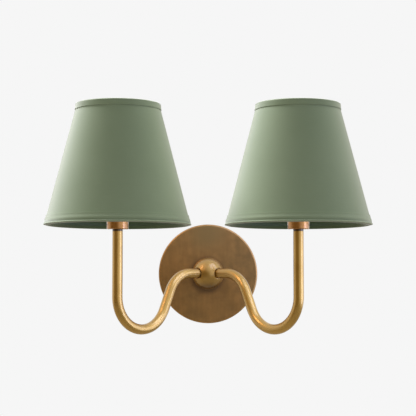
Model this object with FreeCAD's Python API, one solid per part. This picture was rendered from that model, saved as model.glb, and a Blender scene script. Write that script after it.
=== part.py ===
import FreeCAD, Part
import math
import os
from FreeCAD import Vector

# Double arm wall sconce: a round backplate, a hub ball, two swan-neck arms and two clip-on shades.
# Millimetres and degrees. +Z is up and the room is towards -Y. The origin is on the wall, behind
# the centre of the backplate. "Height" of a wall piece is its distance from the wall, and heights
# of a light's pieces are counted from the underside of its socket cup.

# Fits between pieces
slip = 0.1                    # radial play of a part in the hole that locates it
running_gap = 0.3             # between pieces that come apart in use
overrun = 1.0                 # of a cut past the face that it opens

# Backplate, a spun dish
plate_diameter = 130.0
plate_depth = 20.0
plate_wall = 1.5
plate_edge_radius = 2.5

# Wall bracket, a pressed strap with an ear at each end
bracket_width = 20.0
bracket_thickness = 2.0
bracket_bend_radius = 1.2     # inside the bend
bracket_play = 0.5            # between the ears' corners and the dish
ear_height = 14.0
slot_spacing = 88.9
slot_width = 4.6
slot_length = 12.0
cable_hole_diameter = 13.0

# Screws that hold the dish on the ears
plate_screw_diameter = 4.0
plate_screw_length = 8.0
plate_screw_height = 9.5
plate_screw_key = 2.0         # across the flats of its hexagon socket
plate_screw_key_depth = 2.2

# Threaded tube, washer and nut that clamp the hub to the dish
nipple_diameter = 10.0
nipple_bore = 7.6
nipple_in_hub = 4.6
washer_diameter = 18.0
washer_thickness = 1.0
nut_across_flats = 14.0
nut_thickness = 3.4
nipple_past_nut = 1.6

# Hub ball
hub_diameter = 41.5
hub_standoff = 17.0           # from the dish's face to the ball's centre
hub_cavity_diameter = 25.0
hub_recess_play = 1.3         # radial, of the recess where an arm enters
hub_recess_depth = 4.0

# Arms, swan-neck tubes, from the hub outwards
arm_spread_angle = 45.0       # between the wall and the arm's upright plane
tube_diameter = 12.7
tube_wall = 1.2
tube_start = 13.2             # from the ball's centre
arm_straight = 33.0           # from the ball's centre to the shoulder bend
shoulder_radius = 37.5
arm_slope_angle = 65.6
slope_length = 26.6
swan_radius = 40.5
arm_riser = 81.5

# Leads, one live and one neutral in each arm
lead_diameter = 2.2
lead_pitch = 2.6
lead_turn_radius = 4.0        # behind the nipple, of the inner pair
lead_hub_radius = 8.0
lead_sweep_radius = 6.0       # of the double bend before the terminal block
lead_stub = 3.0               # insulation outside the terminal block
conductor_diameter = 1.0
conductor_in_block = 7.0

# Terminal block on the bracket, with one brass barrel per pole
block_length = 16.0
block_width = 19.0
block_depth = 10.5
barrel_pitch = 10.0
barrel_diameter = 5.2
barrel_bore = 4.0
barrel_length = 13.0
clamp_screw_diameter = 2.6
clamp_screw_length = 3.4
clamp_screw_pitch = 7.0
clamp_well_diameter = 3.8
block_screw_diameter = 3.0
block_screw_head_diameter = 4.6
block_screw_head_height = 1.8

# Earth screw on the bracket
earth_screw_place = 24.0      # from the bracket's centre
earth_screw_diameter = 4.0
earth_screw_length = 6.0
earth_head_diameter = 7.6
earth_head_height = 2.4
earth_head_edge_radius = 1.0
earth_washer_diameter = 9.0
earth_washer_thickness = 0.8

# Socket cup on each arm
cup_diameter = 26.4
cup_wall = 1.2
cup_floor = 1.5
cup_height = 40.0
cup_edge_radius = 1.0
arm_nipple_in_tube = 10.0
cup_nut_thickness = 3.0

# Lampholder in the cup
holder_play = 0.4             # between the holder and the cup
holder_below_rim = 1.0
holder_base = 5.5
holder_chamber = 4.0
holder_floor = 4.0
holder_chamber_diameter = 16.0
screw_shell_diameter = 15.8
screw_shell_wall = 0.6
screw_shell_rise = 3.4        # over the holder's floor
screw_shell_eye = 8.4
post_diameter = 1.6
strip_width = 3.0
strip_thickness = 0.5
strip_inset = 1.0             # of the shell's strip, from the shell's outside
contact_rise = 2.2
contact_diameter = 5.4

# Candle bulb
bulb_diameter = 35.0
bulb_glass_length = 76.0
bulb_belly_height = 28.0
bulb_tip_radius = 4.0
bulb_glass_wall = 0.8
cap_diameter = 13.9
cap_length = 15.5
cap_wall = 0.4
cap_edge_radius = 1.0
cap_shoulder = 1.5            # height over which the cap widens to its skirt
cap_skirt_diameter = 17.4
cap_skirt_height = 4.5
cap_insulator_height = 2.4
cap_insulator_diameter = 9.0
cap_contact_diameter = 4.4
cap_contact_height = 0.8

# Shade, a cone of card-backed fabric
shade_bottom_diameter = 177.2
shade_top_diameter = 101.1
shade_height = 146.1
cover_thickness = 0.9
trim_thickness = 0.6
glue_line = 0.05
rim_roll_radius = 2.0         # of the trim where it turns round the ring
top_trim_height = 7.1
top_trim_swell = 1.3          # how much further the trim stands out at the rim
bottom_trim_height = 8.8
bottom_trim_swell = 0.3
trim_turn_in = 3.0            # how far the trim runs on inside, past the ring
ring_wire_diameter = 3.0
ring_play = 0.05

# Spider and bulb clip
spider_drop = 28.0
spoke_count = 3
spoke_diameter = 2.4
spoke_bend_radius = 6.0
spoke_level = 3.0             # at each end of a spoke
crown_diameter = 20.0
crown_thickness = 1.2
clip_headroom = 3.0           # from the bulb's tip to the saddle
clip_wire_diameter = 1.6
clip_half_width = 10.0
clip_bend_radius = 6.0
saddle_length = 12.0
rivet_diameter = 4.0
rivet_head_diameter = 7.0
rivet_head_height = 1.2

# Places that follow from the sizes above
UP = Vector(0, 0, 1)
plate_radius = plate_diameter / 2
plate_inner_radius = plate_radius - plate_wall
plate_inner_face = plate_depth - plate_wall
hub_centre = Vector(0, -(plate_depth + hub_standoff), 0)
tube_radius = tube_diameter / 2
nipple_radius = nipple_diameter / 2
nipple_back = plate_inner_face - washer_thickness - nut_thickness - nipple_past_nut
lead_offset = lead_pitch / 2
ear_face = math.sqrt((plate_inner_radius - bracket_play) ** 2 - (bracket_width / 2) ** 2)
holder_bottom = cup_floor + cup_nut_thickness
holder_floor_bottom = holder_bottom + holder_base + holder_chamber
holder_floor_top = holder_floor_bottom + holder_floor
holder_top = cup_height - holder_below_rim
contact_top = holder_floor_top + contact_rise + strip_thickness
cap_bottom = contact_top + slip + cap_contact_height + cap_insulator_height
skirt_top = cap_bottom + cap_length + cap_skirt_height
bulb_tip = skirt_top + bulb_glass_length
saddle_bottom = bulb_tip + clip_headroom
crown_bottom = saddle_bottom + clip_wire_diameter
shade_top = crown_bottom + spider_drop
shade_bottom = shade_top - shade_height
shade_lean = math.atan2((shade_bottom_diameter - shade_top_diameter) / 2, shade_height)


class Route:
    """A path of straight runs and tangent arcs, followed from one end."""

    def __init__(self, start, heading):
        self.at, self.heading, self.edges = start, heading, []
        self.start, self.first_heading = start, heading

    def run(self, length):
        end = self.at + self.heading * length
        self.edges.append(Part.LineSegment(self.at, end).toShape())
        self.at = end
        return self

    def bend(self, radius, degrees, axis):
        """Turn the path about an axis, by the right-hand rule."""
        inward = axis.cross(self.heading)
        centre = self.at + inward * radius

        def point(angle):
            return centre - inward * (radius * math.cos(angle)) + self.heading * (radius * math.sin(angle))

        turn = math.radians(degrees)
        middle, end = point(turn / 2), point(turn)
        self.edges.append(Part.Arc(self.at, middle, end).toShape())
        self.at = end
        self.heading = self.heading * math.cos(turn) + inward * math.sin(turn)
        return self

    def bar(self, radius):
        """The solid of a round bar along the path."""
        ring = Part.Wire([Part.makeCircle(radius, self.start, self.first_heading)])
        return Part.Wire(self.edges).makePipeShell([ring], True, False)


def rounded_wire(corners):
    """A closed outline through (x, z) corners, where a third number rounds the corner."""
    points = [Vector(corner[0], 0, corner[1]) for corner in corners]
    radii = [corner[2] if len(corner) > 2 else 0 for corner in corners]
    arcs, ends = [], []
    for i, here in enumerate(points):
        if not radii[i]:
            arcs.append(None)
            ends.append((here, here))
            continue
        back = (points[i - 1] - here).normalize()
        ahead = (points[(i + 1) % len(points)] - here).normalize()
        half = back.getAngle(ahead) / 2
        reach = radii[i] / math.tan(half)
        middle = here + (back + ahead).normalize() * (radii[i] / math.sin(half) - radii[i])
        ends.append((here + back * reach, here + ahead * reach))
        arcs.append(Part.Arc(ends[i][0], middle, ends[i][1]).toShape())
    edges = []
    for i, arc in enumerate(arcs):
        if arc:
            edges.append(arc)
        start, end = ends[i][1], ends[(i + 1) % len(ends)][0]
        if start.distanceToPoint(end) > 1e-6:
            edges.append(Part.LineSegment(start, end).toShape())
    return Part.Wire(edges)


def turned(corners):
    """A turned piece: its outline is given as (radius, height)."""
    return Part.Face(rounded_wire(corners)).revolve(Vector(), UP, 360)


def tube_piece(outer, inner, low, high):
    return turned([(inner, low), (outer, low), (outer, high), (inner, high)])


def rod(diameter, low, high, x=0.0, y=0.0):
    return Part.makeCylinder(diameter / 2, high - low, Vector(x, y, low))


def hexagon(across_flats, low, high):
    corner = across_flats / math.sqrt(3)
    points = [Vector(corner * math.cos(math.radians(60 * i)), corner * math.sin(math.radians(60 * i)), low)
              for i in range(7)]
    return Part.Face(Part.makePolygon(points)).extrude(UP * (high - low))


def hex_nut(across_flats, bore, low, high):
    return hexagon(across_flats, low, high).cut(rod(bore, low - overrun, high + overrun))


def onto_wall(shape):
    """Turn a piece that was made lying down, so that its heights run out from the wall."""
    shape.rotate(Vector(), Vector(1, 0, 0), 90)
    return shape


# Wall side

def make_backplate():
    edge, hole = plate_edge_radius, nipple_radius + slip
    inner_edge = max(edge - plate_wall, 0)
    dish = turned([(hole, plate_depth), (plate_radius, plate_depth, edge), (plate_radius, 0),
                   (plate_inner_radius, 0), (plate_inner_radius, plate_inner_face, inner_edge),
                   (hole, plate_inner_face)])
    screw_holes = Part.makeCylinder(plate_screw_diameter / 2 + slip, 2 * plate_diameter,
                                    Vector(-plate_diameter, 0, plate_screw_height), Vector(1, 0, 0))
    return onto_wall(dish.cut(screw_holes))


def make_wall_bracket():
    thick, inner = bracket_thickness, ear_face - bracket_thickness
    bend, outer_bend = bracket_bend_radius, bracket_bend_radius + bracket_thickness
    outline = rounded_wire([(-ear_face, 0, outer_bend), (ear_face, 0, outer_bend), (ear_face, ear_height),
                            (inner, ear_height), (inner, thick, bend), (-inner, thick, bend),
                            (-inner, ear_height), (-ear_face, ear_height)])
    strap = Part.Face(outline).extrude(Vector(0, bracket_width, 0))
    strap.translate(Vector(0, -bracket_width / 2, 0))
    below, above = -overrun, thick + overrun
    cuts = [rod(cable_hole_diameter, below, above),
            rod(block_screw_diameter + 2 * slip, below, above, block_centre()),
            rod(earth_screw_diameter + 2 * slip, below, above, earth_screw_place)]
    for side in (-1, 1):
        middle = side * slot_spacing / 2
        half = (slot_length - slot_width) / 2
        cuts += [rod(slot_width, below, above, middle - half), rod(slot_width, below, above, middle + half),
                 Part.makeBox(2 * half, slot_width, above - below,
                              Vector(middle - half, -slot_width / 2, below))]
    cuts.append(Part.makeCylinder(plate_screw_diameter / 2 + slip, 2 * plate_diameter,
                                  Vector(-plate_diameter, 0, plate_screw_height), Vector(1, 0, 0)))
    return onto_wall(strap.cut(cuts))


def make_plate_screws():
    """Socket screws, flush with the dish's rim, that run through it into the ears."""
    screw = rod(plate_screw_diameter, 0, plate_screw_length)
    screw = screw.cut(hexagon(plate_screw_key, plate_screw_length - plate_screw_key_depth,
                             plate_screw_length + overrun))
    screws = []
    for side in (-1, 1):
        one = screw.copy()
        one.rotate(Vector(), Vector(0, 1, 0), side * 90)
        one.translate(Vector(side * (plate_radius - plate_screw_length), 0, plate_screw_height))
        screws.append(one)
    return onto_wall(Part.makeCompound(screws))


def make_hub_nipple():
    return onto_wall(tube_piece(nipple_radius, nipple_bore / 2, nipple_back, plate_depth + nipple_in_hub))


def make_hub_washer():
    return onto_wall(tube_piece(washer_diameter / 2, nipple_radius + slip,
                                plate_inner_face - washer_thickness, plate_inner_face))


def make_hub_nut():
    top = plate_inner_face - washer_thickness
    return onto_wall(hex_nut(nut_across_flats, nipple_diameter + 2 * slip, top - nut_thickness, top))


def lead_turn_centre():
    """Where the leads turn off behind the nipple: x, and height over the wall."""
    return -(lead_offset + lead_turn_radius), nipple_back


def lead_lane(side):
    """Height over the wall of one arm's leads, where they run along the bracket."""
    radius = lead_turn_radius if side < 0 else lead_turn_radius + lead_pitch
    return lead_turn_centre()[1] - radius


def barrel_height():
    return (lead_lane(-1) + lead_lane(1)) / 2


def double_bend():
    """Angle and length of the double bend that takes a lead from its lane to its barrel."""
    shift = barrel_pitch / 2 - lead_offset
    angle = math.acos(1 - shift / (2 * lead_sweep_radius))
    return math.degrees(angle), 2 * lead_sweep_radius * math.sin(angle)


def block_face():
    """x of the end of the terminal block that the arms' leads enter."""
    return lead_turn_centre()[0] - double_bend()[1] - lead_stub


def block_centre():
    return block_face() - block_length / 2


def clamp_screw_places():
    return [(block_centre() + along * clamp_screw_pitch / 2, across * barrel_pitch / 2)
            for along in (-1, 1) for across in (-1, 1)]


def make_terminal_block():
    low, high = bracket_thickness, bracket_thickness + block_depth
    block = Part.makeBox(block_length, block_width, block_depth,
                         Vector(block_face() - block_length, -block_width / 2, low))
    cuts = [rod(block_screw_diameter + 2 * slip, low - overrun, high + overrun, block_centre()),
            rod(block_screw_head_diameter + 2 * slip, high - block_screw_head_height, high + overrun,
                block_centre())]
    for across in (-1, 1):
        cuts.append(Part.makeCylinder(barrel_diameter / 2 + slip, block_length + 2 * overrun,
                                      Vector(block_face() - block_length - overrun, across * barrel_pitch / 2,
                                             barrel_height()), Vector(1, 0, 0)))
    cuts += [rod(clamp_well_diameter, barrel_height(), high + overrun, x, y) for x, y in clamp_screw_places()]
    return onto_wall(block.cut(cuts))


def make_terminal_barrels():
    barrels = []
    for across in (-1, 1):
        start = Vector(block_centre() - barrel_length / 2, across * barrel_pitch / 2, barrel_height())
        barrel = Part.makeCylinder(barrel_diameter / 2, barrel_length, start, Vector(1, 0, 0))
        barrels.append(barrel.cut(Part.makeCylinder(barrel_bore / 2, barrel_length, start, Vector(1, 0, 0))))
    holes = [rod(clamp_screw_diameter + 2 * slip, barrel_height(), barrel_height() + barrel_diameter, x, y)
             for x, y in clamp_screw_places()]
    return onto_wall(Part.makeCompound([barrel.cut(holes) for barrel in barrels]))


def make_terminal_screws():
    """Four clamping screws over the conductors, and the longer one that holds the block."""
    low = lead_lane(-1) + conductor_diameter / 2 + slip
    screws = [rod(clamp_screw_diameter, low, low + clamp_screw_length, x, y) for x, y in clamp_screw_places()]
    high = bracket_thickness + block_depth
    screws.append(rod(block_screw_diameter, 0, high - block_screw_head_height, block_centre())
                  .fuse(rod(block_screw_head_diameter, high - block_screw_head_height, high, block_centre()))
                  .removeSplitter())
    return onto_wall(Part.makeCompound(screws))


def make_earth_screw():
    seat = bracket_thickness + earth_washer_thickness
    tip, top = seat + bracket_thickness - earth_screw_length, seat + earth_head_height
    shank, head = earth_screw_diameter / 2, earth_head_diameter / 2
    screw = turned([(0, tip), (shank, tip), (shank, seat), (head, seat), (head, top, earth_head_edge_radius),
                    (0, top)])
    screw.translate(Vector(earth_screw_place, 0, 0))
    return onto_wall(screw)


def make_earth_washer():
    washer = tube_piece(earth_washer_diameter / 2, earth_screw_diameter / 2 + slip,
                        bracket_thickness, bracket_thickness + earth_washer_thickness)
    washer.translate(Vector(earth_screw_place, 0, 0))
    return onto_wall(washer)


# Hub and arms

def arm_heading(side):
    spread = math.radians(arm_spread_angle)
    return Vector(side * math.cos(spread), -math.sin(spread), 0)


def follow_arm(route, side, offset=0.0):
    """Lead a path that is on an arm's straight through its bends, offset upwards from its centre."""
    down = UP.cross(arm_heading(side))
    route.bend(shoulder_radius + offset, arm_slope_angle, down)
    route.run(slope_length)
    route.bend(swan_radius - offset, arm_slope_angle + 90, down * -1)
    return route.run(arm_riser)


def arm_route(side):
    heading = arm_heading(side)
    route = Route(hub_centre + heading * tube_start, heading).run(arm_straight - tube_start)
    return follow_arm(route, side)


def light_place(side):
    """Where an arm ends, under the middle of its socket cup."""
    return arm_route(side).at


def make_arm(side):
    route = arm_route(side)
    return route.bar(tube_radius).cut(route.bar(tube_radius - tube_wall))


def make_hub_ball():
    radius = hub_diameter / 2
    ball = Part.makeSphere(radius)
    cuts = [Part.makeBox(hub_diameter, hub_diameter, hub_diameter, Vector(-radius, hub_standoff, -radius)),
            Part.makeSphere(hub_cavity_diameter / 2),
            Part.makeCylinder(nipple_radius + slip, hub_diameter, Vector(), Vector(0, 1, 0))]
    for side in (-1, 1):
        heading = arm_heading(side)
        cuts.append(Part.makeCylinder(tube_radius + slip, hub_diameter, Vector(), heading))
        cuts.append(Part.makeCylinder(tube_radius + hub_recess_play, hub_diameter,
                                      heading * (radius - hub_recess_depth), heading))
    ball = ball.cut(cuts)
    ball.translate(hub_centre)
    return ball


def make_lead(side, pole):
    """One insulated lead, from its terminal barrel to the lampholder. pole is 1 for live, -1 for neutral."""
    offset = pole * lead_offset
    bend_angle, bend_length = double_bend()
    turn_x, turn_height = lead_turn_centre()
    turn_radius = turn_height - lead_lane(side)
    start = Vector(block_face(), -lead_lane(side), pole * barrel_pitch / 2)
    route = Route(start, Vector(1, 0, 0)).run(turn_x - block_face() - bend_length)
    route.bend(lead_sweep_radius, bend_angle, Vector(0, pole, 0))
    route.bend(lead_sweep_radius, bend_angle, Vector(0, -pole, 0))
    route.bend(turn_radius, 90, Vector(0, 0, -1))

    spread = math.radians(arm_spread_angle)
    tangent = lead_hub_radius * math.tan((math.pi / 2 - spread) / 2)
    corner_y = hub_centre.y - lead_offset * math.tan(spread)
    route.run(route.at.y - corner_y - tangent)
    route.bend(lead_hub_radius, 90 - arm_spread_angle, Vector(0, 0, side))
    route.run(arm_straight - lead_offset / math.cos(spread) - tangent)
    follow_arm(route, side, offset).run(holder_floor_bottom)

    conductor = Part.makeCylinder(conductor_diameter / 2, conductor_in_block + lead_stub,
                                  start - Vector(conductor_in_block, 0, 0), Vector(1, 0, 0))
    return route.bar(lead_diameter / 2).fuse(conductor)


# Pieces of one light, made about its own axis with the arm coming from -X

def make_socket_cup():
    radius, hole = cup_diameter / 2, nipple_radius + slip
    inner_edge = max(cup_edge_radius - cup_wall, 0)
    return turned([(hole, 0), (radius, 0, cup_edge_radius), (radius, cup_height),
                   (radius - cup_wall, cup_height), (radius - cup_wall, cup_floor, inner_edge),
                   (hole, cup_floor)])


def make_arm_nipple():
    return tube_piece(nipple_radius, nipple_bore / 2, -arm_nipple_in_tube, holder_bottom + holder_base)


def make_cup_nut():
    return hex_nut(nut_across_flats, nipple_diameter + 2 * slip, cup_floor, holder_bottom)


def make_holder_body():
    radius = cup_diameter / 2 - cup_wall - holder_play
    cuts = [rod(nipple_diameter + 2 * slip, holder_bottom - overrun, holder_bottom + holder_base + overrun),
            rod(holder_chamber_diameter, holder_bottom + holder_base, holder_floor_bottom),
            rod(screw_shell_diameter + 2 * slip, holder_floor_top, holder_top + overrun)]
    cuts += [rod(post_diameter + 2 * slip, holder_floor_bottom - overrun, holder_floor_top + overrun, x)
             for x in (-lead_offset, lead_offset)]
    return rod(2 * radius, holder_bottom, holder_top).cut(cuts)


def make_holder_shell():
    """The screw shell, with the strip that takes it to the neutral lead."""
    outer = screw_shell_diameter / 2
    inner = outer - screw_shell_wall
    low = holder_floor_top + screw_shell_rise
    shell = turned([(screw_shell_eye / 2, low), (outer, low), (outer, holder_top), (inner, holder_top),
                    (inner, low + screw_shell_wall), (screw_shell_eye / 2, low + screw_shell_wall)])
    strip = Part.makeBox(outer - strip_inset - lead_offset, strip_width, strip_thickness,
                         Vector(lead_offset, -strip_width / 2, holder_floor_top))
    riser = Part.makeBox(strip_thickness, strip_width, screw_shell_rise,
                         Vector(outer - strip_inset - strip_thickness, -strip_width / 2, holder_floor_top))
    post = rod(post_diameter, holder_floor_bottom, holder_floor_top + strip_thickness, lead_offset)
    return shell.fuse([strip, riser, post]).removeSplitter()


def make_holder_contact():
    """The centre contact, on a post over the live lead."""
    low = contact_top - strip_thickness
    post = rod(post_diameter, holder_floor_bottom, low, -lead_offset)
    return rod(contact_diameter, low, contact_top).fuse(post).removeSplitter()


def make_bulb_cap():
    outer, skirt = cap_diameter / 2, cap_skirt_diameter / 2
    inner, skirt_inner, eye = outer - cap_wall, skirt - cap_wall, cap_insulator_diameter / 2
    floor, thread_top = cap_bottom + cap_wall, cap_bottom + cap_length
    skirt_low = thread_top + cap_shoulder
    return turned([(eye, cap_bottom), (outer, cap_bottom, cap_edge_radius), (outer, thread_top),
                   (skirt, skirt_low), (skirt, skirt_top), (skirt_inner, skirt_top),
                   (skirt_inner, skirt_low), (inner, thread_top), (inner, floor), (eye, floor)])


def make_bulb_insulator():
    """The glass bead that carries the centre contact."""
    low = cap_bottom - cap_insulator_height
    return turned([(0, low), (cap_contact_diameter / 2, low), (cap_insulator_diameter / 2, cap_bottom),
                   (cap_insulator_diameter / 2, cap_bottom + cap_wall), (0, cap_bottom + cap_wall)])


def make_bulb_contact():
    high = cap_bottom - cap_insulator_height
    return rod(cap_contact_diameter, high - cap_contact_height, high)


def arc_edge(centre, radius, first, last):
    """An arc in the XZ plane, between two angles in degrees from +X towards +Z."""
    def point(degrees):
        return centre + Vector(math.cos(math.radians(degrees)), 0, math.sin(math.radians(degrees))) * radius

    return Part.Arc(point(first), point((first + last) / 2), point(last)).toShape()


def glass_outline(inset):
    """Half of the candle's outline, this far inside its outer face, as edges from its foot to its tip."""
    neck, belly = cap_skirt_diameter / 2 - cap_wall - slip, bulb_diameter / 2
    swell = 2 * math.atan2(belly - neck, bulb_belly_height)
    neck_radius = bulb_belly_height / (2 * math.sin(swell))
    top = bulb_glass_length - bulb_belly_height - bulb_tip_radius
    flank_radius = (belly ** 2 - bulb_tip_radius ** 2 + top ** 2) / (2 * (belly - bulb_tip_radius))
    flank_turn = math.degrees(math.atan2(top, flank_radius - belly))
    swell = math.degrees(swell)
    belly_height = skirt_top + bulb_belly_height
    return [
        Part.LineSegment(Vector(neck - inset, 0, skirt_top - cap_skirt_height / 2),
                         Vector(neck - inset, 0, skirt_top)).toShape(),
        arc_edge(Vector(neck + neck_radius, 0, skirt_top), neck_radius + inset, 180, 180 - swell),
        arc_edge(Vector(belly - neck_radius, 0, belly_height), neck_radius - inset, -swell, 0),
        arc_edge(Vector(belly - flank_radius, 0, belly_height), flank_radius - inset, 0, flank_turn),
        arc_edge(Vector(0, 0, belly_height + top), bulb_tip_radius - inset, flank_turn, 90)]


def make_bulb_glass():
    outer, inner = glass_outline(0), glass_outline(bulb_glass_wall)
    foot = Part.LineSegment(outer[0].Vertexes[0].Point, inner[0].Vertexes[0].Point).toShape()
    tip = Part.LineSegment(outer[-1].Vertexes[-1].Point, inner[-1].Vertexes[-1].Point).toShape()
    outline = Part.Wire(Part.__sortEdges__(outer + inner + [foot, tip]))
    return Part.Face(outline).revolve(Vector(), UP, 360)


# Shade. A place on its wall is given by the distance up or down the slope from a rim, and by the
# distance outwards from the cover's outer face.

def wall_place(rim, along, out):
    lean_sin, lean_cos = math.sin(shade_lean), math.cos(shade_lean)
    if rim == "top":
        return (shade_top_diameter / 2 + along * lean_sin + out * lean_cos,
                shade_top - along * lean_cos + out * lean_sin)
    return (shade_bottom_diameter / 2 - along * lean_sin + out * lean_cos,
            shade_bottom + along * lean_cos + out * lean_sin)


def make_shade_cover():
    return turned([wall_place("bottom", 0, 0), wall_place("top", 0, 0),
                   wall_place("top", 0, -cover_thickness), wall_place("bottom", 0, -cover_thickness)])


def ring_circle(rim):
    """Radius and height of a ring wire's centre: it lies inside the cover, level with its edge."""
    half = ring_wire_diameter / 2
    return wall_place(rim, half + ring_play, -cover_thickness - half - ring_play)


def make_shade_ring(rim):
    radius, height = ring_circle(rim)
    return Part.makeTorus(radius, ring_wire_diameter / 2, Vector(0, 0, height))


def make_shade_trim(rim, trim_height, swell):
    """Tape that is folded over the cover's edge and rolled round the ring, and glued down inside."""
    tape, pocket = trim_thickness, ring_wire_diameter + 2 * ring_play
    inside, behind = -cover_thickness - glue_line, -cover_thickness - pocket
    edge, roll = -glue_line - tape, rim_roll_radius
    outer_face, inner_face = glue_line + tape, inside - tape
    outline = [(trim_height, glue_line), (trim_height, outer_face), (edge, outer_face + swell, roll),
               (edge, behind - tape, roll), (pocket, behind - tape, tape),
               (pocket + trim_turn_in, inner_face), (pocket + 2 * trim_turn_in, inner_face),
               (pocket + 2 * trim_turn_in, inside), (pocket + trim_turn_in, inside), (pocket, behind),
               (-glue_line, behind, roll - tape), (-glue_line, glue_line)]
    return turned([wall_place(rim, corner[0], corner[1]) + corner[2:] for corner in outline])


def spoke_routes():
    """Wires that run out over the crown, up a slope, and level again to the top ring."""
    radius, height = ring_circle("top")
    low = crown_bottom + spoke_diameter / 2
    foot = crown_diameter / 2 - spoke_diameter
    across = radius - ring_wire_diameter / 2 - ring_play - foot - 2 * spoke_level
    rise = height - low - 2 * spoke_bend_radius
    between_bends = math.hypot(across, rise)
    slope = math.atan2(rise, across) + math.asin(2 * spoke_bend_radius / between_bends)
    sloping = math.sqrt(between_bends ** 2 - (2 * spoke_bend_radius) ** 2)
    routes = []
    for i in range(spoke_count):
        turn = math.radians(90 + i * 360 / spoke_count)
        out = Vector(math.cos(turn), math.sin(turn), 0)
        route = Route(out * foot + UP * low, out).run(spoke_level)
        route.bend(spoke_bend_radius, math.degrees(slope), out.cross(UP)).run(sloping)
        route.bend(spoke_bend_radius, math.degrees(slope), UP.cross(out)).run(spoke_level)
        routes.append(route)
    return routes


def make_shade_spider():
    crown = tube_piece(crown_diameter / 2, rivet_diameter / 2 + slip,
                       crown_bottom, crown_bottom + crown_thickness)
    return crown.fuse([route.bar(spoke_diameter / 2) for route in spoke_routes()]).removeSplitter()


def make_top_trim():
    trim = make_shade_trim("top", top_trim_height, top_trim_swell)
    return trim.cut([route.bar(spoke_diameter / 2 + slip) for route in spoke_routes()])


def clip_loop(side):
    """A hairpin of spring wire that hangs from the saddle and hugs one side of the bulb."""
    out = Vector(side, 0, 0)
    leg = bulb_diameter / 2 + running_gap + clip_wire_diameter / 2
    start = Vector(0, -clip_half_width, saddle_bottom + clip_wire_diameter / 2)
    belly = skirt_top + bulb_belly_height + clip_wire_diameter / 2
    drop = start.z - clip_bend_radius - belly - clip_half_width
    route = Route(start, out).run(leg - clip_bend_radius)
    route.bend(clip_bend_radius, 90, UP.cross(out)).run(drop)
    route.bend(clip_half_width, 180, Vector(1, 0, 0)).run(drop)
    route.bend(clip_bend_radius, 90, out.cross(UP)).run(leg - clip_bend_radius)
    return route.bar(clip_wire_diameter / 2)


def make_bulb_clip():
    width = 2 * clip_half_width + 2 * clip_wire_diameter
    saddle = Part.makeBox(saddle_length, width, clip_wire_diameter,
                          Vector(-saddle_length / 2, -width / 2, saddle_bottom))
    crown_top = crown_bottom + crown_thickness
    rivet = rod(rivet_diameter, saddle_bottom, crown_top)
    head = rod(rivet_head_diameter, crown_top, crown_top + rivet_head_height)
    return saddle.fuse([clip_loop(-1), clip_loop(1), rivet, head]).removeSplitter()


LIGHT_PIECES = {
    "socket_cup": make_socket_cup,
    "arm_nipple": make_arm_nipple,
    "cup_nut": make_cup_nut,
    "lampholder_body": make_holder_body,
    "lampholder_shell": make_holder_shell,
    "lampholder_contact": make_holder_contact,
    "bulb_cap": make_bulb_cap,
    "bulb_insulator": make_bulb_insulator,
    "bulb_contact": make_bulb_contact,
    "bulb_glass": make_bulb_glass,
    "shade_cover": make_shade_cover,
    "shade_top_ring": lambda: make_shade_ring("top"),
    "shade_bottom_ring": lambda: make_shade_ring("bottom"),
    "shade_top_trim": make_top_trim,
    "shade_bottom_trim": lambda: make_shade_trim("bottom", bottom_trim_height, bottom_trim_swell),
    "shade_spider": make_shade_spider,
    "bulb_clip": make_bulb_clip,
}

WALL_PIECES = {
    "backplate": make_backplate,
    "wall_bracket": make_wall_bracket,
    "plate_screws": make_plate_screws,
    "hub_nipple": make_hub_nipple,
    "hub_washer": make_hub_washer,
    "hub_nut": make_hub_nut,
    "hub_ball": make_hub_ball,
    "terminal_block": make_terminal_block,
    "terminal_barrels": make_terminal_barrels,
    "terminal_screws": make_terminal_screws,
    "earth_screw": make_earth_screw,
    "earth_washer": make_earth_washer,
}


def set_on_arm(piece, side):
    """Turn a light's piece so that its arm comes from the hub, and stand it on the arm's end."""
    heading = arm_heading(side)
    piece.rotate(Vector(), UP, math.degrees(math.atan2(heading.y, heading.x)))
    piece.translate(light_place(side))
    return piece


def save(name, shape):
    shape.exportStep(f"parts/{name}.step")


os.makedirs("parts", exist_ok=True)
for name, make in WALL_PIECES.items():
    save(name, make())
for side_name, side in (("left", -1), ("right", 1)):
    save(f"arm_{side_name}", make_arm(side))
    for pole_name, pole in (("live", 1), ("neutral", -1)):
        save(f"lead_{pole_name}_{side_name}", make_lead(side, pole))
    for name, make in LIGHT_PIECES.items():
        save(f"{name}_{side_name}", set_on_arm(make(), side))
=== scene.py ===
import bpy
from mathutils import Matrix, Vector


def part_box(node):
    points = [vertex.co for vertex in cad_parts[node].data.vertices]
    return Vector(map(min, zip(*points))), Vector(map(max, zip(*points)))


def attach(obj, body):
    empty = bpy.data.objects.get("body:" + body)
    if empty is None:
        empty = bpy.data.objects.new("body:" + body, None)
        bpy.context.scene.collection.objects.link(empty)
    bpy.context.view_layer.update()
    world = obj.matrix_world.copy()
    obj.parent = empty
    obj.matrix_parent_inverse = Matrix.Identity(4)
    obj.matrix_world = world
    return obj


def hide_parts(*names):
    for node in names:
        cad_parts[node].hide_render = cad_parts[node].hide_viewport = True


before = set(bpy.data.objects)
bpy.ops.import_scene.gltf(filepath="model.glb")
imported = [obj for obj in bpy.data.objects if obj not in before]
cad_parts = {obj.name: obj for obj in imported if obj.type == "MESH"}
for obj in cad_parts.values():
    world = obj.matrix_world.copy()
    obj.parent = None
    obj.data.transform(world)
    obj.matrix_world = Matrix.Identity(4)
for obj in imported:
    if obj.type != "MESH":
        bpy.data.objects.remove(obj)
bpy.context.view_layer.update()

import math

import bmesh
import bpy
from mathutils import Matrix, Vector


# Wall bracket, nipple, nuts, washer and screws.
# Pressed steel with a dull zinc plating, whose crystals show as faint grey patches.
# They are used as they come out of the press, so the solids only need their finish.

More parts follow.
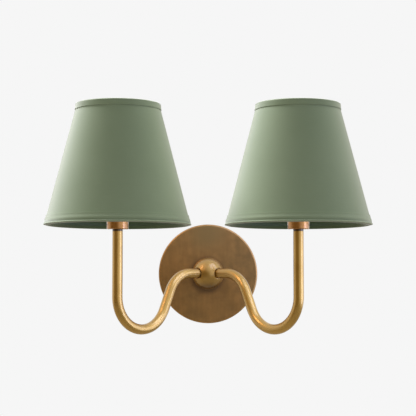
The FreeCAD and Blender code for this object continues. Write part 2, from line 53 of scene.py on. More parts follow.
def srgb(red, green, blue):
    """A colour as it looks on screen, from 0 to 255, as the linear colour that a shader takes."""
    shares = [value / 255 for value in (red, green, blue)]
    return [s / 12.92 if s <= 0.04045 else ((s + 0.055) / 1.055) ** 2.4 for s in shares] + [1.0]


class Nodes:
    """A node tree, with short ways to add nodes and to feed them."""

    def __init__(self, tree):
        self.tree = tree

    def feed(self, socket, value):
        """Link an output to a socket, or set the socket's own value."""
        if isinstance(value, bpy.types.NodeSocket):
            self.tree.links.new(value, socket)
        else:
            socket.default_value = value

    def node(self, kind, settings=None, **inputs):
        """Add a node. Its inputs go by their names, with _ for a space."""
        made = self.tree.nodes.new(kind)
        for name, value in (settings or {}).items():
            setattr(made, name, value)
        for name, value in inputs.items():
            self.feed(made.inputs[name.replace("_", " ")], value)
        return made

    def place(self):
        """The coordinates of the piece's object, which are metres in the shared frame."""
        return self.node("ShaderNodeTexCoord").outputs["Object"]

    def reckon(self, operation, *values, kind="ShaderNodeMath"):
        """Add a Math node, or a Vector Math node, and feed it in order. Returns its outputs."""
        made = self.node(kind, {"operation": operation})
        for socket, value in zip(made.inputs, values):
            self.feed(socket, value)
        return made.outputs

    def blend(self, share, one, other, mode="MIX"):
        """Turn one colour into the other by a share. A Mix node's sockets for that go by number."""
        mix = self.node("ShaderNodeMix", {"data_type": "RGBA", "blend_type": mode})
        for index, value in ((0, share), (6, one), (7, other)):
            self.feed(mix.inputs[index], value)
        return mix.outputs[2]


class Effect(Nodes):
    """A shader group with named sizes going in and masks coming out."""

    def __init__(self, name, sizes, masks):
        super().__init__(bpy.data.node_groups.new(name, "ShaderNodeTree"))
        for size, value in sizes.items():
            socket = self.tree.interface.new_socket(size, in_out="INPUT",
                                                    socket_type="NodeSocketFloat")
            socket.default_value = value
        for mask in masks:
            self.tree.interface.new_socket(mask, in_out="OUTPUT", socket_type="NodeSocketFloat")
        self.sizes = self.node("NodeGroupInput").outputs
        self.masks = self.node("NodeGroupOutput").inputs

    def noise(self, stretch, scale, detail, low, high):
        """Noise cut to a mask, 0 below low and 1 above high, with each axis scaled by stretch."""
        place = self.node("ShaderNodeMapping", Vector=self.place(), Scale=stretch).outputs[0]
        noise = self.node("ShaderNodeTexNoise", Vector=place, Scale=scale, Detail=detail)
        return self.node("ShaderNodeMapRange", Value=noise.outputs["Fac"], From_Min=low,
                         From_Max=high).outputs[0]


class Paint(Nodes):
    """A material: one Principled surface, painted by masks on Object coordinates."""

    def __init__(self, name):
        self.material = bpy.data.materials.new(name)
        self.material.use_nodes = True
        super().__init__(self.material.node_tree)
        self.surface = self.tree.nodes["Principled BSDF"]

    def effect(self, group, **sizes):
        """Place a shader group in this material, with its own sizes. Returns its masks."""
        return self.node("ShaderNodeGroup", {"node_tree": group}, **sizes).outputs

    def spread(self, mask, low, high):
        """A mask from 0 to 1, as a value from low to high."""
        return self.node("ShaderNodeMapRange", Value=mask, To_Min=low, To_Max=high).outputs[0]

    def set(self, **inputs):
        """Set or feed sockets of the surface."""
        for name, value in inputs.items():
            self.feed(self.surface.inputs[name.replace("_", " ")], value)

    def bump(self, height, strength, depth):
        """Raise the surface by a mask, by a depth in metres."""
        bump = self.node("ShaderNodeBump", Strength=strength, Distance=depth, Height=height)
        self.set(Normal=bump.outputs[0])


def make_age():
    """Patches, upright streaks and a fine grain, for whatever has been handled or has aged."""
    age = Effect("age", sizes={"Patch Scale": 40.0, "Streak Scale": 300.0, "Grain Scale": 2500.0},
                 masks=("Patches", "Streaks", "Grain"))
    even, upright = (1.0, 1.0, 1.0), (1.0, 1.0, 0.12)
    for mask, size, stretch, detail, low, high in (
            ("Patches", "Patch Scale", even, 5, 0.34, 0.68),
            ("Streaks", "Streak Scale", upright, 3, 0.3, 0.7),
            ("Grain", "Grain Scale", even, 2, 0.25, 0.75)):
        age.feed(age.masks[mask], age.noise(stretch, age.sizes[size], detail, low, high))
    return age.tree


AGE = make_age()


def metal(name, bright, dull, roughness, patch_scale):
    """Bare metal: bright where it is clean, dull in its patches and streaks."""
    paint = Paint(name)
    age = paint.effect(AGE, Patch_Scale=patch_scale)
    patched = paint.blend(age["Patches"], srgb(*bright), srgb(*dull))
    streaky = paint.blend(paint.spread(age["Streaks"], 0.0, 0.35), patched, srgb(*dull))
    paint.set(Base_Color=streaky, Metallic=1.0, Roughness=paint.spread(age["Patches"], *roughness))
    paint.bump(age["Grain"], strength=0.08, depth=0.00005)
    return paint.material


def finish(material, *names):
    """Give solids of the frame their material."""
    for name in names:
        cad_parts[name].material_slots[0].material = material


zinc = metal("zinc_plate", (196, 197, 194), (150, 152, 152), roughness=(0.32, 0.5),
             patch_scale=180.0)
finish(zinc, "wall_bracket", "plate_screws", "hub_nipple", "hub_washer", "hub_nut",
       "terminal_screws", "arm_nipple_left", "arm_nipple_right", "cup_nut_left", "cup_nut_right")


# Terminal block, its brass barrels and the earth screw.
# The block is moulded cream plastic, and the small metal parts are plain turned brass.
# They are hidden behind the backplate and show only from the wall side.

def plastic(name, colour, shade, roughness):
    """Moulded plastic, with the soft mottling and the fine texture of its mould."""
    paint = Paint(name)
    age = paint.effect(AGE, Patch_Scale=90.0, Grain_Scale=1600.0)
    paint.set(Base_Color=paint.blend(age["Patches"], srgb(*colour), srgb(*shade)),
              Roughness=paint.spread(age["Grain"], roughness - 0.06, roughness + 0.08))
    paint.bump(age["Grain"], strength=0.1, depth=0.00006)
    return paint.material


block_plastic = plastic("block_plastic", (226, 222, 206), (214, 209, 190), roughness=0.5)
turned_brass = metal("turned_brass", (228, 190, 120), (196, 150, 84), roughness=(0.22, 0.36),
                     patch_scale=120.0)
finish(block_plastic, "terminal_block")
finish(turned_brass, "terminal_barrels", "earth_screw", "earth_washer")


# Leads: single cores in soft plastic insulation, brown for live and blue for neutral.
# They run from the terminal block through the nipple, the hub and the arms.

SIDES = ("left", "right")
live_insulation = plastic("live_insulation", (104, 62, 36), (92, 53, 30), roughness=0.42)
neutral_insulation = plastic("neutral_insulation", (42, 84, 158), (36, 72, 140), roughness=0.42)
for side in SIDES:
    finish(live_insulation, f"lead_live_{side}")
    finish(neutral_insulation, f"lead_neutral_{side}")


# Backplate: a spun brass dish with a flat face and a rounded rim, held by two side screws.
# Its brass is darkened to a matte brown, streaked upright by the hand that rubbed it, and the
# rounded rim is rubbed back to a thin golden line.

PLATE_STEPS = 160
ROUND_SEGMENTS = 5
SHARP_ANGLE = math.radians(32)
MERGE_WITHIN, RING_WITHIN = 1e-7, 1e-6
QUARTER_TURN = math.radians(90)
FACE_THE_ROOM = Matrix.Rotation(QUARTER_TURN, 4, "X")
ON_THE_FACE, ALL_ROUND = (1, 0, 1), (1, 1, 1)
plate_low, plate_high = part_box("backplate")
plate_radius = (plate_high.x - plate_low.x) / 2
plate_depth = plate_high.y - plate_low.y
plate_wall = 0.0015
plate_edge = 0.0025
plate_hole = 0.0051


def lathe(outline, steps, rounds=(), material_of=None):
    """Spin a closed outline of (radius, height) points about Z, and round some of its rings.

    rounds holds the (point's index, width) of each rounding, and material_of(face's centre)
    gives a face the index of its material."""
    bm = bmesh.new()
    points = [bm.verts.new((radius, 0.0, height)) for radius, height in outline]
    edges = [bm.edges.new(pair) for pair in zip(points, points[1:] + points[:1])]
    bmesh.ops.spin(bm, geom=points + edges, cent=(0, 0, 0), axis=(0, 0, 1), angle=2 * math.pi,
                   steps=steps, use_merge=True)
    bmesh.ops.remove_doubles(bm, verts=bm.verts, dist=MERGE_WITHIN)
    bmesh.ops.recalc_face_normals(bm, faces=bm.faces)
    for index, width in rounds:
        radius, height = outline[index]
        ring = [edge for edge in bm.edges
                if all(abs(vert.co.z - height) < RING_WITHIN
                       and abs(vert.co.xy.length - radius) < RING_WITHIN for vert in edge.verts)]
        bmesh.ops.bevel(bm, geom=ring, offset=width, segments=ROUND_SEGMENTS, profile=0.5,
                        affect="EDGES", material=-1)
    if material_of:
        for face in bm.faces:
            face.material_index = material_of(face.calc_center_median())
    return bm


def become_piece(name, bm, body, materials, place, replaced):
    """Turn a bmesh into a piece that stands in its place and rides on its body."""
    bmesh.ops.transform(bm, matrix=place, verts=bm.verts)
    for face in bm.faces:
        face.smooth = True
    mesh = bpy.data.meshes.new(name)
    bm.to_mesh(mesh)
    bm.free()
    for material in materials:
        mesh.materials.append(material)
    mesh.set_sharp_from_angle(angle=SHARP_ANGLE)
    piece = bpy.data.objects.new(name, mesh)
    bpy.context.scene.collection.objects.link(piece)
    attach(piece, body)
    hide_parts(*replaced)
    return piece


def aged_brass(name, bright, mid, dark, roughness, patch_scale, streak_scale, streak_share,
               lacquer):
    """Brass that was darkened, rubbed upright and lacquered.

    streak_share is how far the streaks darken it, and lacquer is the clear coat's roughness."""
    paint = Paint(name)
    age = paint.effect(AGE, Patch_Scale=patch_scale, Streak_Scale=streak_scale)
    fine = paint.effect(AGE, Patch_Scale=patch_scale * 5, Streak_Scale=streak_scale * 3)
    tone = paint.blend(age["Patches"], srgb(*mid), srgb(*dark))
    tone = paint.blend(paint.spread(fine["Patches"], 0.0, 0.45), tone, srgb(*bright))
    tone = paint.blend(paint.spread(age["Streaks"], 0.0, streak_share), tone, srgb(*dark))
    paint.set(Base_Color=tone, Metallic=1.0, Coat_Weight=1.0, Coat_Roughness=lacquer,
              Coat_IOR=1.55, Roughness=paint.spread(age["Patches"], *roughness))
    paint.bump(fine["Grain"], strength=0.02, depth=0.00002)
    return paint


def darken_near(paint, place, along, near, far, colour):
    """Turn a finish to a darker colour near a place: in full up to near, and not at all from far.

    along picks the axes, by 0 or 1, that the distance is measured on."""
    vector = {"kind": "ShaderNodeVectorMath"}
    moved = paint.reckon("SUBTRACT", paint.place(), place, **vector)[0]
    picked = paint.reckon("MULTIPLY", moved, along, **vector)[0]
    distance = paint.reckon("LENGTH", picked, **vector)["Value"]
    mask = paint.node("ShaderNodeMapRange", {"interpolation_type": "SMOOTHSTEP"}, Value=distance,
                      From_Min=near, From_Max=far, To_Min=1.0, To_Max=0.0)
    under = paint.surface.inputs["Base Color"].links[0].from_socket
    paint.set(Base_Color=paint.blend(mask.outputs[0], under, srgb(*colour)))


def on_plate_rim(centre):
    """1 for a place on the plate's rounded rim, which has the second material."""
    reach = 0.8 * plate_edge
    return int(centre.xy.length > plate_radius - reach and centre.z > plate_depth - reach)


plate_brass = aged_brass("plate_brass", (182, 138, 74), (161, 119, 60), (126, 97, 46),
                         roughness=(0.5, 0.6), patch_scale=22.0, streak_scale=220.0,
                         streak_share=0.4, lacquer=0.4)
# Painted shadow of the ball on the plate: a dark ring round the ball, reaching a little further
# below and to its left.
darken_near(plate_brass, (-0.001, 0.0, -0.002), ON_THE_FACE, near=0.018, far=0.028,
        colour=(104, 76, 36))
# A darker olive patch at the top of the plate.
darken_near(plate_brass, (-0.002, 0.0, 0.054), ON_THE_FACE, near=0.004, far=0.034,
        colour=(140, 113, 62))
rim_brass = aged_brass("rim_brass", (196, 148, 76), (180, 133, 62), (154, 112, 50),
                       roughness=(0.45, 0.55), patch_scale=60.0, streak_scale=260.0,
                       streak_share=0.2, lacquer=0.4)

plate_outline = [(plate_hole, plate_depth), (plate_radius, plate_depth), (plate_radius, 0.0),
                 (plate_radius - plate_wall, 0.0),
                 (plate_radius - plate_wall, plate_depth - plate_wall),
                 (plate_hole, plate_depth - plate_wall)]
plate = lathe(plate_outline, PLATE_STEPS, rounds=[(1, plate_edge)], material_of=on_plate_rim)
become_piece("backplate_dish", plate, "fixture",
             [plate_brass.material, rim_brass.material], FACE_THE_ROOM, ["backplate"])


# Hub ball: solid cast brass, turned and drilled, with a shallow recess where each arm goes in.
# It has the arms' satin finish, a tone darker, and its lower part is painted darker, as painted
# shade.

ball_low, ball_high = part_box("hub_ball")
ball_radius = (ball_high.z - ball_low.z) / 2
hub_centre = Vector((0, ball_low.y + ball_radius, 0))
ball_brass = aged_brass("ball_brass", (192, 153, 80), (180, 141, 67), (162, 123, 52),
                        roughness=(0.36, 0.44), patch_scale=45.0, streak_scale=200.0,
                        streak_share=0.1, lacquer=0.2)
# Painted shade: the ball's underside turns darker brown.
darken_near(ball_brass, hub_centre + Vector((0, -0.006, -0.022)), ALL_ROUND, near=0.008, far=0.02,
        colour=(120, 88, 38))
finish(ball_brass.material, "hub_ball")


# Arms: half inch brass tube, bent over formers into a swan neck and pushed into the hub.
# Each is one length: level out of the ball, over the shoulder, down the slope, round the swan
# bend and straight up to the cup.

TUBE_STEPS = 48
ARC_STEP = math.radians(1.5)
arm_spread = math.radians(45)
tube_radius = 0.00635
tube_start = 0.0132  # from the ball's centre, inside its bore
arm_straight = 0.033
shoulder_radius = 0.0375
arm_slope = math.radians(65.6)
slope_length = 0.0266
swan_radius = 0.0405
arm_riser = 0.0815


def push(bm, ring, distance):
    """Draw the open end of a tube straight on, in the XZ plane."""
    made = bmesh.ops.extrude_edge_only(bm, edges=ring)["geom"]
    moved = {item for item in made if isinstance(item, bmesh.types.BMVert)}
    bmesh.ops.translate(bm, verts=list(moved), vec=distance)
    return [item for item in made if isinstance(item, bmesh.types.BMEdge)
            and moved.issuperset(item.verts)]


def turn(bm, ring, centre, angle):
    """Draw the open end of a tube round a bend, about an axis along Y."""
    made = bmesh.ops.spin(bm, geom=ring, cent=centre, axis=(0, 1, 0), angle=angle,
                          steps=round(abs(angle) / ARC_STEP))["geom_last"]
    return [item for item in made if isinstance(item, bmesh.types.BMEdge)]


def draw_arm():
    """One arm in the XZ plane, from the ball's centre towards +X. Returns its mesh and its end."""
    bm = bmesh.new()
    start = Matrix.Translation((tube_start, 0, 0)) @ Matrix.Rotation(QUARTER_TURN, 4, "Y")
    circle = bmesh.ops.create_circle(bm, segments=TUBE_STEPS, radius=tube_radius, matrix=start)
    ring = list({edge for vert in circle["verts"] for edge in vert.link_edges})
    ring = push(bm, ring, Vector((arm_straight - tube_start, 0, 0)))
    ring = turn(bm, ring, (arm_straight, 0, -shoulder_radius), arm_slope)
    slope = Vector((math.cos(arm_slope), 0, -math.sin(arm_slope))) * slope_length
    slope_end = slope + Vector((arm_straight + shoulder_radius * math.sin(arm_slope), 0,
                                -shoulder_radius * (1 - math.cos(arm_slope))))
    ring = push(bm, ring, slope)
    centre = slope_end + Vector((math.sin(arm_slope), 0, math.cos(arm_slope))) * swan_radius
    ring = turn(bm, ring, centre, -(arm_slope + QUARTER_TURN))
    push(bm, ring, Vector((0, 0, arm_riser)))
    bmesh.ops.recalc_face_normals(bm, faces=bm.faces)
    return bm, centre + Vector((swan_radius, 0, arm_riser))


def arm_place(side):
    """Turn an arm from the XZ plane into its own upright plane, at the hub."""
    angle = -arm_spread if side == "right" else arm_spread - math.pi
    return Matrix.Translation(hub_centre) @ Matrix.Rotation(angle, 4, "Z")


arm_brass = aged_brass("arm_brass", (206, 166, 86), (194, 153, 72), (174, 133, 55),
                       roughness=(0.34, 0.38), patch_scale=9.0, streak_scale=50.0,
                       streak_share=0.12, lacquer=0.18)
light_place = {}
for side in SIDES:
    arm, arm_end = draw_arm()
    light_place[side] = arm_place(side) @ arm_end
    # A dark line round the end of the tube, just under the cup.
    darken_near(arm_brass, light_place[side], ALL_ROUND, near=0.0065, far=0.0070, colour=(60, 42, 20))
    become_piece(f"swan_neck_{side}", arm, "fixture", [arm_brass.material],
                 arm_place(side), [f"arm_{side}"])


# Socket cups: spun brass, a shade redder than the arms, with a rolled bottom edge.
# Each is clamped on the end of its arm and hides the lampholder.

CUP_STEPS = 64
cup_radius, cup_height, cup_hole = 0.0132, 0.040, 0.0051
cup_wall, cup_floor = 0.0012, 0.0015
cup_edge, cup_lip = 0.001, 0.0003
cup_brass = aged_brass("cup_brass", (196, 144, 78), (182, 128, 61), (166, 110, 48),
                       roughness=(0.3, 0.36), patch_scale=50.0, streak_scale=120.0,
                       streak_share=0.2, lacquer=0.14)
cup_outline = [(cup_hole, 0.0), (cup_radius, 0.0), (cup_radius, cup_height),
               (cup_radius - cup_wall, cup_height), (cup_radius - cup_wall, cup_floor),
               (cup_hole, cup_floor)]
for side in SIDES:
    cup = lathe(cup_outline, CUP_STEPS, rounds=[(1, cup_edge), (2, cup_lip)])
    become_piece(f"cup_{side}", cup, "fixture", [cup_brass.material],
                 Matrix.Translation(light_place[side]), [f"socket_cup_{side}"])


# Lampholders: moulded black phenolic bodies with a brass screw shell and a centre contact.
# Each stands in its cup, held by the nipple and the nut on the end of the arm.

holder_plastic = plastic("holder_plastic", (38, 37, 36), (28, 27, 27), roughness=0.45)
for side in SIDES:
    finish(holder_plastic, f"lampholder_body_{side}")
    finish(turned_brass, f"lampholder_shell_{side}", f"lampholder_contact_{side}")


# Bulbs: blown opal glass in a plated screw cap, with a black glass bead and a solder contact.
# Each screws into the shell of its lampholder and carries the shade's clip.

def glazed(name, colour, shade, roughness):
    """Opal glass, which lets a little light in and shows the faintest clouds."""
    paint = Paint(name)
    age = paint.effect(AGE, Patch_Scale=30.0)
    paint.set(Base_Color=paint.blend(age["Patches"], srgb(*colour), srgb(*shade)),
              Roughness=paint.spread(age["Patches"], *roughness), Subsurface_Weight=0.2,
              Subsurface_Scale=0.004)
    return paint.material


opal_glass = glazed("opal_glass", (240, 238, 230), (232, 229, 219), roughness=(0.12, 0.2))
cap_metal = metal("cap_metal", (206, 206, 204), (172, 172, 172), roughness=(0.25, 0.4),
                  patch_scale=150.0)
bead_glass = plastic("bead_glass", (22, 22, 26), (16, 16, 20), roughness=0.2)
for side in SIDES:
    finish(opal_glass, f"bulb_glass_{side}")
    finish(cap_metal, f"bulb_cap_{side}", f"bulb_contact_{side}")
    finish(bead_glass, f"bulb_insulator_{side}")


# Shades: smooth sage fabric laminated on card, rolled into a cone and lapped at the back.
# Tape of the same fabric is folded over the wire ring at each rim and glued down inside.
# Inside each hangs a spider of plated wire, on a spring clip that hugs the bulb.

SHADE_STEPS = 180
COVER_BANDS = 8
LAP_STEP = 0.0002
SAGE, SAGE_SHADE = (139, 155, 123), (131, 148, 115)
# The inside of each shade and of its tapes is the same sage, painted darker as painted shade.
SHADED_SAGE, SHADED_SAGE_TINT = (92, 114, 82), (85, 106, 75)
shade_foot, shade_crown, shade_height = 0.0886, 0.05055, 0.1461
shade_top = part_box("shade_cover_left")[1].z
shade_lean = math.atan2(shade_foot - shade_crown, shade_height)
cover_thick, tape_thick, glue = 0.0009, 0.0006, 0.00005
ring_pocket = 0.0031
tape_inside, tape_behind = -cover_thick - glue, -cover_thick - ring_pocket


def wall_place(rim, along, out):
    """Radius and height of a place that is along the slope from a rim, and out from the card."""
    lean_sin, lean_cos = math.sin(shade_lean), math.cos(shade_lean)
    if rim == "top":
        return (shade_crown + along * lean_sin + out * lean_cos,
                shade_top - along * lean_cos + out * lean_sin)
    return (shade_foot - along * lean_sin + out * lean_cos,
            shade_top - shade_height + along * lean_cos + out * lean_sin)


def is_inside_face(centre):
    """1 for a place on the inside of the shade, which has the second material."""
    outside = shade_crown + (shade_top - centre.z) * math.tan(shade_lean)
    return int(centre.xy.length < outside - 0.6 * cover_thick)


def lap(bm, edge, run_out, rise):
    """Raise the back where one end is lapped over the other: a step at edge, gone at run_out."""
    for across in (edge, edge + LAP_STEP, run_out):
        faces = [face for face in bm.faces if face.calc_center_median().y > 0]
        edges = list({border for face in faces for border in face.edges})
        verts = list({vert for face in faces for vert in face.verts})
        bmesh.ops.bisect_plane(bm, geom=verts + edges + faces, dist=MERGE_WITHIN,
                               plane_co=(across, 0, 0), plane_no=(1, 0, 0))
    for vert in bm.verts:
        at_back = vert.co.y > 0 and edge + LAP_STEP / 2 < vert.co.x < run_out
        if at_back and not is_inside_face(vert.co):
            lift = rise * (run_out - vert.co.x) / (run_out - edge)
            vert.co.xy += vert.co.xy.normalized() * lift


def make_weave():
    """Upright and level threads of uneven thickness, as one height."""
    weave = Effect("weave", sizes={"Thread Scale": 1500.0}, masks=("Threads",))
    upright, level = (1.0, 1.0, 0.04), (0.04, 0.04, 1.0)
    warp, weft = (weave.noise(stretch, weave.sizes["Thread Scale"], detail=1, low=0.3, high=0.7)
                  for stretch in (upright, level))
    weave.feed(weave.masks["Threads"], weave.reckon("ADD", warp, weft)[0])
    return weave.tree


WEAVE = make_weave()


def painted_shading_bands(paint, painted_shading):
    """Painted light and shade in grey bands by height, where a tape turns and creases: (height,
    shade) from the lowest up.
    """
    low, high = painted_shading[0][0], painted_shading[-1][0]
    height = paint.node("ShaderNodeSeparateXYZ", Vector=paint.place()).outputs["Z"]
    along = paint.node("ShaderNodeMapRange", Value=height, From_Min=low, From_Max=high)
    bands = paint.node("ShaderNodeValToRGB", Fac=along.outputs[0])
    stops = bands.color_ramp.elements
    while len(stops) < len(painted_shading):
        stops.new(0.5)
    for stop, (level, _) in zip(stops, painted_shading):
        stop.position = (level - low) / (high - low)
    for stop, (_, shade) in zip(stops, painted_shading):
        stop.color = (shade, shade, shade, 1)
    return bands.outputs["Color"]


def make_shade_fabric(name, colour, tint, painted_shading=()):
    """Fine plain fabric: a close weave that shows as a soft grain, and on a tape, bands of painted
    light and shade.
    """
    paint = Paint(name)
    age = paint.effect(AGE, Patch_Scale=14.0)
    weave = paint.effect(WEAVE)
    cloth = paint.blend(age["Patches"], srgb(*colour), srgb(*tint))
    cloth = paint.blend(paint.spread(weave["Threads"], 0.0, 0.25), cloth, srgb(*tint))
    if painted_shading:
        cloth = paint.blend(1.0, cloth, painted_shading_bands(paint, painted_shading), "MULTIPLY")
    paint.set(Base_Color=cloth, Roughness=paint.spread(weave["Threads"], 0.64, 0.74),
              Sheen_Weight=0.7, Sheen_Roughness=0.5, Specular_IOR_Level=0.2)
    paint.bump(weave["Threads"], strength=0.12, depth=0.00008)
    return paint.material


hem_drop, rim_rise = 0.0013, glue + tape_thick
hem_low = shade_top - shade_height - hem_drop * math.cos(shade_lean)
rim_low, rim_high = (corner.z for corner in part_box("shade_top_trim_left"))
# Painted light and shade on the tapes: lighter lips and edges where they catch the light, and
# darker lines in the creases and under each tape's edge.
hem_painted_shading = [(hem_low + height, shade) for height, shade in (
    (0.0, 1.25), (0.0010, 1.2), (0.0016, 0.85), (0.0028, 0.85), (0.0038, 1.02), (0.0062, 1.06),
    (0.0072, 0.93), (0.0084, 1.05), (0.0116, 1.05))]
rim_painted_shading = [(rim_low, 0.8), (rim_low + 0.0008, 1.1), (rim_low + 0.003, 1.02),
             (rim_high - 0.003, 1.02), (rim_high - 0.0018, 0.9), (rim_high, 1.08)]
shade_fabric = make_shade_fabric("shade_fabric", SAGE, SAGE_SHADE)
# Painted shade: the inside gets a darker copy of the sage.
painted_shade_inside = make_shade_fabric("painted_shade_inside", SHADED_SAGE, SHADED_SAGE_TINT)
hem_tape = make_shade_fabric("hem_tape", SAGE, SAGE_SHADE, hem_painted_shading)
rim_tape = make_shade_fabric("rim_tape", SAGE, SAGE_SHADE, rim_painted_shading)


def make_cover():
    """The card and its fabric as one wall, with the lap of its ends at the back."""
    slope = shade_height / math.cos(shade_lean)
    outside = [wall_place("bottom", slope * band / COVER_BANDS, 0)
               for band in range(COVER_BANDS + 1)]
    inside = [wall_place("bottom", slope * band / COVER_BANDS, -cover_thick)
              for band in reversed(range(COVER_BANDS + 1))]
    cover = lathe(outside + inside, SHADE_STEPS, material_of=is_inside_face)
    lap(cover, edge=-0.004, run_out=0.014, rise=0.0004)
    return cover


def make_tape(rim, drop, outer_faces, rolls):
    """Tape round one rim, which it covers by drop.

    outer_faces lists its outside as (along, out), from the tape's edge to the rim, and rolls
    the widths of its turns round the rim, outside and inside."""
    turn_in = ring_pocket + 0.003
    glued_end = turn_in + 0.003
    section = [(outer_faces[0][0], glue)] + outer_faces + [
        (-drop, tape_behind - tape_thick), (ring_pocket, tape_behind - tape_thick),
        (turn_in, tape_inside - tape_thick), (glued_end, tape_inside - tape_thick),
        (glued_end, tape_inside), (turn_in, tape_inside), (ring_pocket, tape_behind),
        (-glue, tape_behind), (-glue, glue)]
    last = len(outer_faces)
    tape = lathe([wall_place(rim, along, out) for along, out in section], SHADE_STEPS,
                 rounds=[(last, rolls[0]), (last + 1, rolls[1])], material_of=is_inside_face)
    lap(tape, edge=0.009, run_out=0.02, rise=0.0003)
    return tape


hem_faces = [(0.0104, 0.00065), (0.0090, 0.0007), (0.0078, 0.0006), (0.0062, 0.0006),
             (0.0050, 0.0009), (0.0024, 0.00085), (0.0013, 0.0005), (0.0003, 0.0005),
             (-0.0004, 0.0010), (-hem_drop, 0.0010)]
rim_faces = [(0.0071, 0.00065), (0.0036, 0.0012), (-rim_rise, 0.00195)]
hem_rolls, rim_rolls = (0.0004, 0.0018), (0.0018, 0.0018)
wire = metal("plated_wire", (206, 202, 190), (170, 166, 154), roughness=(0.28, 0.45),
             patch_scale=150.0)
for side in SIDES:
    axis = Matrix.Translation((light_place[side].x, light_place[side].y, 0))
    hem = make_tape("bottom", hem_drop, hem_faces, hem_rolls)
    rim = make_tape("top", rim_rise, rim_faces, rim_rolls)
    for name, made, cloth, slot, node in (
            ("cover", make_cover(), shade_fabric, "shade_cover", "shade_cover"),
            ("hem", hem, hem_tape, "shade_trim", "shade_bottom_trim"),
            ("rim", rim, rim_tape, "shade_trim", "shade_top_trim")):
        piece = become_piece(f"{name}_{side}", made, f"shade_{side}", [cloth, painted_shade_inside],
                             axis, [f"{node}_{side}"])
        # The brass mirrors the open room and not the shades.
        piece.visible_glossy = False
    finish(wire, f"shade_top_ring_{side}", f"shade_bottom_ring_{side}", f"shade_spider_{side}",
           f"bulb_clip_{side}")


# Studio: a pale floor far under the light, a pale surround, and the photograph's camera. Two
# lamps behind the light, at its left and right, brighten the edges of the shades, and four
# weaker ones are only mirrored by the brass.

FLOOR_DROP, FLOOR_RADIUS = 0.9, 3.0
PALE, WHITE = srgb(246, 246, 246), (1, 1, 1, 1)
FLOOR_GLOW = srgb(132, 126, 106)

floor_bm = bmesh.new()
bmesh.ops.create_circle(floor_bm, cap_ends=True, segments=64, radius=FLOOR_RADIUS,
                        matrix=Matrix.Translation((0, 0, -FLOOR_DROP)))
floor_mesh = bpy.data.meshes.new("floor")
floor_bm.to_mesh(floor_mesh)
floor_bm.free()
floor = bpy.data.objects.new("floor", floor_mesh)
bpy.context.scene.collection.objects.link(floor)
floor_paint = Paint("floor_paint")
floor_ray = floor_paint.node("ShaderNodeLightPath").outputs
floor_seen = floor_paint.reckon("MAXIMUM", floor_ray["Is Camera Ray"],
                                floor_ray["Is Transmission Ray"])[0]
floor_paint.set(Base_Color=floor_paint.blend(floor_seen, FLOOR_GLOW, PALE), Roughness=0.8)
floor_mesh.materials.append(floor_paint.material)

# The camera, glass and metal see a pale surround, but what metal mirrors of the room behind the
# camera is dim and warm. Everything else is lit by a plain white fill.
ROOM_SHADE, ROOM_SIDE = (0.24, 0.18, 0.09, 1), (-0.52, -0.8, -0.3)
ROOM_FADES_FROM, ROOM_FULL_FROM = 0.5, 0.85
FILL = 0.46
world = bpy.data.worlds.new("surround")
bpy.context.scene.world = world
world.use_nodes = True
air = Nodes(world.node_tree)
ray = air.node("ShaderNodeLightPath").outputs
clear = air.reckon("MAXIMUM", ray["Is Camera Ray"], ray["Is Transmission Ray"])[0]
seen = air.reckon("MAXIMUM", clear, ray["Is Glossy Ray"])[0]
direction = air.node("ShaderNodeTexCoord").outputs["Generated"]
towards_room = air.reckon("DOT_PRODUCT", direction, ROOM_SIDE, kind="ShaderNodeVectorMath")
in_room = air.node("ShaderNodeMapRange", {"interpolation_type": "SMOOTHSTEP"},
                   Value=towards_room["Value"], From_Min=ROOM_FADES_FROM, From_Max=ROOM_FULL_FROM)
dimmed = air.reckon("MULTIPLY", in_room.outputs[0], ray["Is Glossy Ray"])[0]
pale_air = air.tree.nodes["Background"]
air.feed(pale_air.inputs["Color"], air.blend(dimmed, PALE, ROOM_SHADE))
fill_air = air.node("ShaderNodeBackground", Color=WHITE, Strength=FILL)
either = air.node("ShaderNodeMixShader", Fac=seen)
air.feed(either.inputs[1], fill_air.outputs[0])
air.feed(either.inputs[2], pale_air.outputs[0])
air.feed(air.tree.nodes["World Output"].inputs["Surface"], either.outputs[0])

SHADES_MIDDLE = Vector((0, -0.147, 0.06))
DAYLIGHT, LAMPLIGHT = (0.78, 0.96, 1.75), (1.0, 0.6, 0.35)


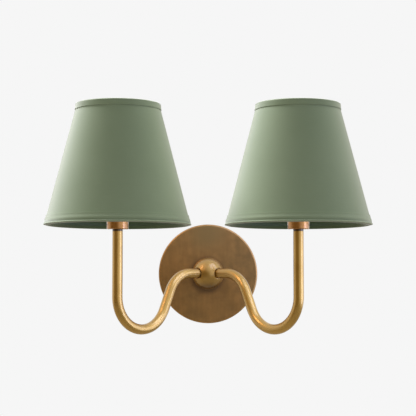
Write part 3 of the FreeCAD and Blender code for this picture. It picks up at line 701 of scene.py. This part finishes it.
def soft_lamp(name, azimuth, elevation, distance, size, power, colour):
    """A soft lamp round the shades. Its azimuth counts from the camera's side to the right."""
    data = bpy.data.lights.new(name, "AREA")
    data.shape = "RECTANGLE"
    data.size, data.size_y = size
    data.energy, data.color = power, colour
    lamp = bpy.data.objects.new(name, data)
    bpy.context.scene.collection.objects.link(lamp)
    across, up = math.radians(azimuth), math.radians(elevation)
    lamp.location = SHADES_MIDDLE + distance * Vector((
        math.sin(across) * math.cos(up), -math.cos(across) * math.cos(up), math.sin(up)))
    lamp.rotation_euler = (SHADES_MIDDLE - lamp.location).to_track_quat("-Z", "Y").to_euler()
    return lamp


# Azimuth and elevation are in degrees, distance and size in metres, and power in watts.
for rim_lamp in (
        soft_lamp("left_rim_lamp", -123, 57, 4.0, (1.4, 1.4), 335, (0.95, 0.92, 0.98)),
        soft_lamp("right_rim_lamp", 121, 57, 4.0, (1.4, 1.4), 97, (1.0, 0.98, 0.88))):
    rim_lamp.visible_glossy = False
for mirrored_lamp in (
        soft_lamp("right_window", 84, 5, 1.8, (1.6, 1.6), 8.5, DAYLIGHT),
        soft_lamp("right_strip", 72, 5, 1.7, (0.4, 1.5), 4, DAYLIGHT),
        soft_lamp("upper_window", 54, 50, 1.8, (1.3, 1.2), 11, DAYLIGHT),
        soft_lamp("warm_lamp", -56, 41, 1.8, (0.45, 0.7), 6.5, LAMPLIGHT)):
    mirrored_lamp.visible_diffuse = False
    mirrored_lamp.data.use_shadow = False

# The photograph is 416 pixels wide, its eye level is at row 292 and its focal length is 1237
# pixels. The camera stands at eye level, at a gap in front of the backplate, and tilts up until
# that row is where it should be.
PHOTO_SIZE, EYE_ROW, FOCAL = 416, 292.0, 1237.0
CAMERA_GAP, EYE_HEIGHT, SENSOR = 1.63, -0.024, 36.0
camera_data = bpy.data.cameras.new("camera")
camera_data.sensor_width = SENSOR
camera_data.lens = SENSOR * FOCAL / PHOTO_SIZE
camera = bpy.data.objects.new("camera", camera_data)
bpy.context.scene.collection.objects.link(camera)
camera.location = (0.0, plate_low.y - CAMERA_GAP, EYE_HEIGHT)
tilt = math.atan((EYE_ROW - PHOTO_SIZE / 2) / FOCAL)
camera.rotation_euler = (QUARTER_TURN + tilt, 0, 0)
bpy.context.scene.camera = camera
bpy.context.scene.view_settings.view_transform = "Standard"
